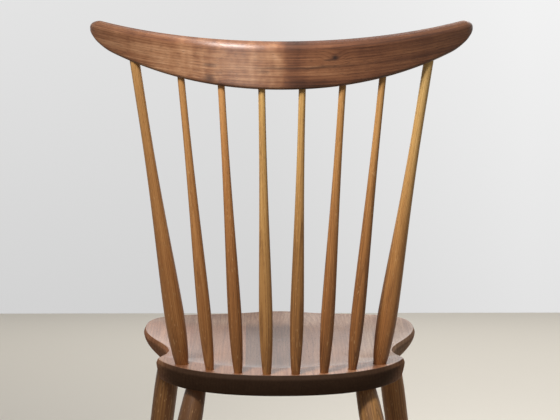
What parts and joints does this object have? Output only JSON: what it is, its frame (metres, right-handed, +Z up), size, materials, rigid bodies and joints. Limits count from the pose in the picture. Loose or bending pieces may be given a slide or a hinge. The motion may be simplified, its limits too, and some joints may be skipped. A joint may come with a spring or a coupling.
{
  "type": "dining chair",
  "caption": "Comb-back side chair with a carved saddle seat, a bent crest rail over fanned turned spindles, and splayed turned legs joined by stretchers.",
  "frame": {"origin": "on the floor, under the middle of the chair's outer size", "axes": "+Z up, the sitter faces -Y and the back leans towards +Y, +X towards the sitter's left"},
  "size_m": [0.542, 0.598, 0.9546],
  "materials": {
    "walnut": "satin oiled",
    "oak": "satin oiled"
  },
  "bodies": {
    "root": {"seat": "walnut", "crest_rail": "walnut", "back_spindle_1": "oak", "back_spindle_2": "oak", "back_spindle_3": "oak", "back_spindle_4": "oak", "back_spindle_5": "oak", "back_spindle_6": "oak", "back_spindle_7": "oak", "back_spindle_8": "oak", "leg_front_left": "oak", "leg_front_right": "oak", "leg_rear_left": "oak", "leg_rear_right": "oak", "stretcher_left": "oak", "stretcher_right": "oak", "stretcher_cross": "oak"}
  },
  "joints": []
}
